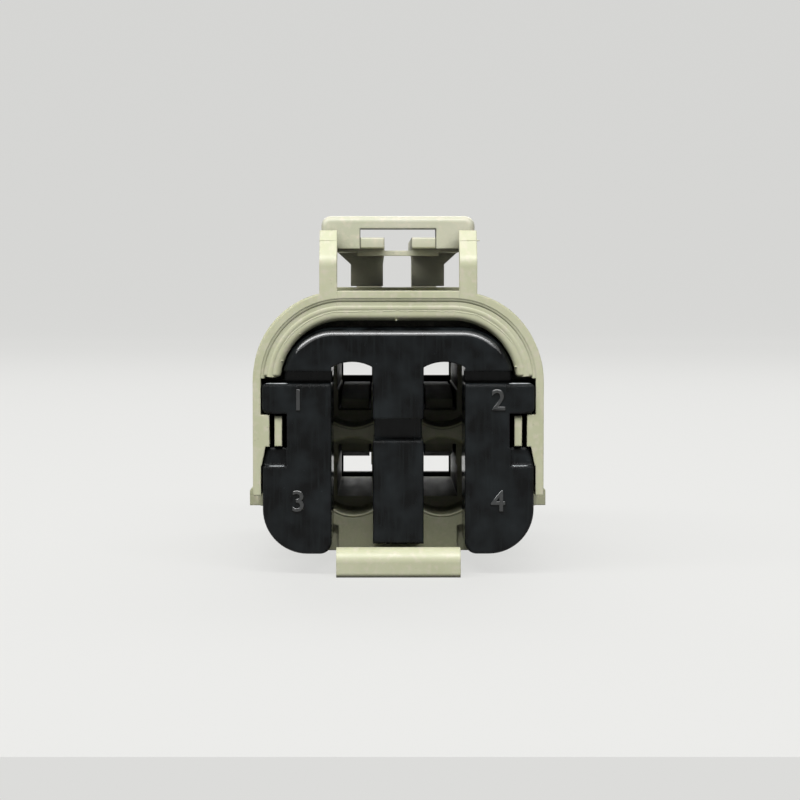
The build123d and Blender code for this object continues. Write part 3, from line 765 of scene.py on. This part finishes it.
@dataclass
class RearHolder:
    """Black comb over the wire seals, with a raised number beside each bore.

    Sizes are in mm, the tilt is in degrees. An edge is its Z, its inner X and its outer X.
    """
    finish: bpy.types.Material
    marks: bpy.types.Material
    # Finish of the edges: a painted glint, pale grey with a high real shine.
    edges: bpy.types.Material
    shiny: bpy.types.Material
    face_y: float = -16.5
    brow_half_w: float = 8.78
    brow_top_z: float = 18.85
    brow_r: float = 3.9
    brow_round: float = 0.85
    brow_bead_r: float = 0.6
    brow_tilt: float = 34.0
    brow_skin: float = 0.012
    brow_ends: float = 0.04
    brow_steps: int = 90
    brow_fade: int = 10
    brow_sides: int = 64
    edge_lines: tuple[tuple[float, float, float], ...] = (
        (14.62, 8.4, 10.05), (8.35, 8.6, 9.85))
    edge_back: float = 0.03
    edge_r: float = 0.05
    edge_end_r: float = 0.02
    edge_steps: int = 6
    edge_sides: int = 10
    digit_x: float = 7.6
    digit_z: tuple[float, float] = (13.3, 5.6)
    digit_h: float = 1.6
    digit_em: float = 1.4
    digit_rise: float = 0.03
    digit_thin: float = 0.05
    digit_bevel: float = 0.11
    digit_bevel_steps: int = 2
    digit_curve_steps: int = 3

    def build(self) -> None:
        """Dress the comb and add its circuit numbers, its edges with a painted glint, and its
        rubbed brow.
        """
        dress_node("rear_holder", self.finish)
        self.circuit_numbers()
        self.polished_edges()
        self.brow()

    def brow(self) -> None:
        """Rubbed band along the bridge's rounding.

        It is one skin proud of the rounding, and sinks to two skins below it at both ends.
        """
        shape = bmesh.new()
        depth = self.brow_round - self.brow_bead_r
        tilt = math.radians(self.brow_tilt)
        inset = self.brow_round - depth * math.sin(tilt)
        y = self.face_y + self.brow_round - depth * math.cos(tilt)
        span = 1 - 2 * self.brow_ends
        line, radii = [], []
        for i in range(self.brow_steps + 1):
            line.append(arch_point(self.brow_ends + span * i / self.brow_steps,
                                   self.brow_half_w - inset, self.brow_top_z - inset,
                                   self.brow_r - inset, y) * MM)
            out = min(i, self.brow_steps - i, self.brow_fade) / self.brow_fade
            radii.append((self.brow_bead_r + self.brow_skin * (3 * out - 2)) * MM)
        sweep(shape, line, radii, sides=self.brow_sides)
        new_piece("rear_holder_brow", shape, self.shiny, Body.REAR_HOLDER)

    def polished_edges(self) -> None:
        """Pale shiny lines on each tab's top edge and each step's lower edge: a painted glint,
        with a real high shine as well.
        """
        shape = bmesh.new()
        y = self.face_y + self.edge_back
        radii = [self.edge_r * MM] * (self.edge_steps + 1)
        radii[0] = radii[-1] = self.edge_end_r * MM
        for side in (-1, 1):
            for z, inner, outer in self.edge_lines:
                line = [Vector((side * (inner + (outer - inner) * i / self.edge_steps), y,
                                z)) * MM for i in range(self.edge_steps + 1)]
                sweep(shape, line, radii, sides=self.edge_sides)
        new_piece("rear_holder_edges", shape, self.edges, Body.REAR_HOLDER)

    def circuit_numbers(self) -> None:
        """Raised numbers 1 to 4, each beside its bore."""
        shape = bmesh.new()
        for number, (side, row) in enumerate(((-1, 0), (1, 0), (-1, 1), (1, 1)), start=1):
            letter = bpy.data.curves.new(f"number_{number}", "FONT")
            letter.body = str(number)
            letter.size = self.digit_h * MM * self.digit_em
            letter.extrude = self.digit_rise * MM
            letter.offset = -self.digit_thin * MM
            letter.bevel_depth = self.digit_bevel * MM
            letter.bevel_resolution = self.digit_bevel_steps
            letter.align_x = "CENTER"
            letter.align_y = "CENTER"
            letter.resolution_u = self.digit_curve_steps
            holder = bpy.data.objects.new(f"number_{number}", letter)
            bpy.context.collection.objects.link(holder)
            bpy.context.view_layer.update()
            made = bpy.data.meshes.new_from_object(
                holder.evaluated_get(bpy.context.evaluated_depsgraph_get()))
            place = Matrix.Translation(Vector((side * self.digit_x, self.face_y,
                                               self.digit_z[row])) * MM)
            made.transform(place @ Euler((math.pi / 2, 0, 0)).to_matrix().to_4x4())
            shape.from_mesh(made)
            bpy.data.objects.remove(holder)
            bpy.data.curves.remove(letter)
            bpy.data.meshes.remove(made)
        new_piece("rear_holder_numbers", shape, self.marks, Body.REAR_HOLDER)


@dataclass
class InterfaceSeal:
    """Silicone ring on the tower."""
    finish: bpy.types.Material

    def build(self) -> None:
        """Dress the ring."""
        dress_node("interface_seal", self.finish)


@dataclass
class FrontHolder:
    """Black plate on the tower's end, with a gate stub in its middle. Sizes in mm."""
    finish: bpy.types.Material
    face_y: float = 16.5
    mid_z: float = 10.4
    stub_size: tuple[float, float, float] = (0.35, 0.14, 0.35)
    pin_x: float = 4.4
    pin_r: float = 0.6
    pin_bead_r: float = 0.03
    dice: random.Random = field(default_factory=lambda: random.Random(SEED + 2))

    def build(self) -> None:
        """Dress the plate and add its gate stub and pin marks."""
        dress_node("front_holder", self.finish)
        shape = bmesh.new()
        flake(shape, Vector((0, self.face_y, self.mid_z)) * MM,
              Vector(self.stub_size) * MM, self.dice)
        for x in (-self.pin_x, self.pin_x):
            line = ring_line(Vector((x, self.face_y, self.mid_z)) * MM, self.pin_r * MM,
                             Vector((1, 0, 0)), Vector((0, 0, 1)))
            sweep(shape, line, [self.pin_bead_r * MM] * len(line), closed=True)
        new_piece("front_holder_marks", shape, self.finish, Body.FRONT_HOLDER)


# ---------------------------------------------------------------- studio

@dataclass(frozen=True)
class SoftBox:
    """Rectangular lamp: where it hangs, what it points at, its width and height, its watts.

    Sizes are in mm.
    """
    name: str
    place: tuple[float, float, float]
    aim: tuple[float, float, float]
    size: tuple[float, float]
    power: float


@dataclass
class Studio:
    """Floor, light and camera. Sizes in mm, angles in degrees."""
    lens: float = 96.0
    sensor: float = 36.0
    stand_off: float = 160.0
    camera_x: float = -1.0
    camera_z: float = 22.1
    pitch: float = 3.09
    yaw: float = 0.40
    pale: str = "#dcdcda"
    paper_base: str = "#484847"
    paper_rough: float = 0.9
    paper_glow: float = 0.9
    paper_quiet: str = "#3c3c3b"
    air_light: str = "#f2f4f6"
    air_strength: float = 0.06
    floor_size: float = 3000.0
    backdrop_y: float = 900.0
    backdrop_r: float = 250.0
    backdrop_steps: int = 12
    boxes: tuple[SoftBox, ...] = (
        SoftBox("key", (-60, -225, 325), (0, -8, 14), (760, 95), 3.5),
        SoftBox("back", (60, 330, 300), (0, 8, 12), (600, 150), 1.2))

    def build(self) -> None:
        """Build the whole studio."""
        self.view()
        self.ground()
        self.air()
        for box in self.boxes:
            self.lamp(box)
        bpy.context.scene.view_settings.view_transform = "Standard"

    def view(self) -> None:
        """Add the camera."""
        data = bpy.data.cameras.new("camera")
        data.lens = self.lens
        data.sensor_width = self.sensor
        camera = bpy.data.objects.new("camera", data)
        bpy.context.collection.objects.link(camera)
        low_y = CAD_BOUNDS[0][1] / MM
        camera.location = Vector((self.camera_x, low_y - self.stand_off, self.camera_z)) * MM
        turn = (Matrix.Rotation(math.radians(-self.yaw), 4, "Z")
                @ Matrix.Rotation(math.radians(90 - self.pitch), 4, "X"))
        camera.rotation_euler = turn.to_euler()
        bpy.context.scene.camera = camera

    def looked_at(self, tree: bpy.types.NodeTree) -> bpy.types.NodeSocket:
        """One for rays that show the background, straight, mirrored or through; zero for light.

        Args:
            tree: Node tree that asks.

        Returns:
            The socket with the answer.
        """
        path = add_node(tree, "ShaderNodeLightPath")
        seen = add_node(tree, "ShaderNodeMath", {"operation": "MAXIMUM"},
                        {0: path.outputs["Is Camera Ray"], 1: path.outputs["Is Glossy Ray"]})
        seen = add_node(tree, "ShaderNodeMath", {"operation": "MAXIMUM"},
                        {0: seen.outputs[0], 1: path.outputs["Is Transmission Ray"]})
        return seen.outputs[0]

    def paper(self) -> bpy.types.Material:
        """Matt paper, pale and evenly lit where it is seen, that throws little light back."""
        material = bpy.data.materials.new("studio_paper")
        material.use_nodes = True
        tree = material.node_tree
        shader = tree.nodes["Principled BSDF"]
        shader.inputs["Base Color"].default_value = linear(self.paper_base)
        shader.inputs["Roughness"].default_value = self.paper_rough
        quiet = add_node(tree, "ShaderNodeBsdfDiffuse", {"Color": linear(self.paper_quiet)})
        glow = add_node(tree, "ShaderNodeEmission",
                        {"Color": linear(self.pale), "Strength": self.paper_glow})
        both = add_node(tree, "ShaderNodeAddShader", {},
                        {0: shader.outputs["BSDF"], 1: glow.outputs["Emission"]})
        pick = add_node(tree, "ShaderNodeMixShader", {},
                        {0: self.looked_at(tree), 1: quiet.outputs["BSDF"],
                         2: both.outputs[0]})
        tree.links.new(pick.outputs[0], tree.nodes["Material Output"].inputs["Surface"])
        return material

    def ground(self) -> None:
        """Floor that sweeps up into a backdrop."""
        half = self.floor_size / 2
        rise = self.backdrop_r
        profile = [(-half, 0.0), (self.backdrop_y - rise, 0.0)]
        for i in range(1, self.backdrop_steps + 1):
            turn = math.pi / 2 * i / self.backdrop_steps
            profile.append((self.backdrop_y - rise + rise * math.sin(turn),
                            rise - rise * math.cos(turn)))
        profile.append((self.backdrop_y, half))
        mesh = bpy.data.meshes.new("studio_ground")
        verts = [(x * MM, y * MM, z * MM) for y, z in profile for x in (-half, half)]
        faces = [(2 * i, 2 * i + 1, 2 * i + 3, 2 * i + 2) for i in range(len(profile) - 1)]
        mesh.from_pydata(verts, [], faces)
        mesh.polygons.foreach_set("use_smooth", [True] * len(faces))
        mesh.materials.append(self.paper())
        ground = bpy.data.objects.new("studio_ground", mesh)
        bpy.context.collection.objects.link(ground)

    def air(self) -> None:
        """World light, low enough that hollows stay dark, and pale where it is seen."""
        world = bpy.data.worlds.new("studio_air")
        world.use_nodes = True
        tree = world.node_tree
        light = tree.nodes["Background"]
        light.inputs["Color"].default_value = linear(self.air_light)
        light.inputs["Strength"].default_value = self.air_strength
        seen = add_node(tree, "ShaderNodeBackground",
                        {"Color": linear(self.pale), "Strength": 1.0})
        pick = add_node(tree, "ShaderNodeMixShader", {},
                        {0: self.looked_at(tree), 1: light.outputs[0],
                         2: seen.outputs[0]})
        tree.links.new(pick.outputs[0], tree.nodes["World Output"].inputs["Surface"])
        bpy.context.scene.world = world

    def lamp(self, box: SoftBox) -> None:
        """Hang a soft box.

        Args:
            box: The soft box.
        """
        data = bpy.data.lights.new(box.name, "AREA")
        data.shape = "RECTANGLE"
        data.size, data.size_y = box.size[0] * MM, box.size[1] * MM
        data.energy = box.power
        lamp = bpy.data.objects.new(box.name, data)
        bpy.context.collection.objects.link(lamp)
        lamp.location = Vector(box.place) * MM
        way = Vector(box.aim) * MM - lamp.location
        lamp.rotation_euler = way.to_track_quat("-Z", "Y").to_euler()


def main() -> None:
    """Build the pieces in order, then the studio."""
    logging.basicConfig(level=logging.INFO, format="%(message)s")
    parts = [Housing(NATURAL_PBT.build(), NATURAL_PBT.for_marks().build()),
             LockLever(LEVER_PBT.build(), LEVER_PBT.for_marks().build()),
             RearHolder(BLACK_PBT.build(), BLACK_PBT.for_marks(shine=0.75).build(),
                        PAINTED_GLINT_EDGE.build(), RUBBED_BROW.build()),
             InterfaceSeal(SILICONE.build()), FrontHolder(BLACK_PBT_FRONT.build())]
    for part in parts:
        part.build()
        LOG.info("built %s", type(part).__name__)
    Studio().build()


if __name__ == "__main__":
    main()
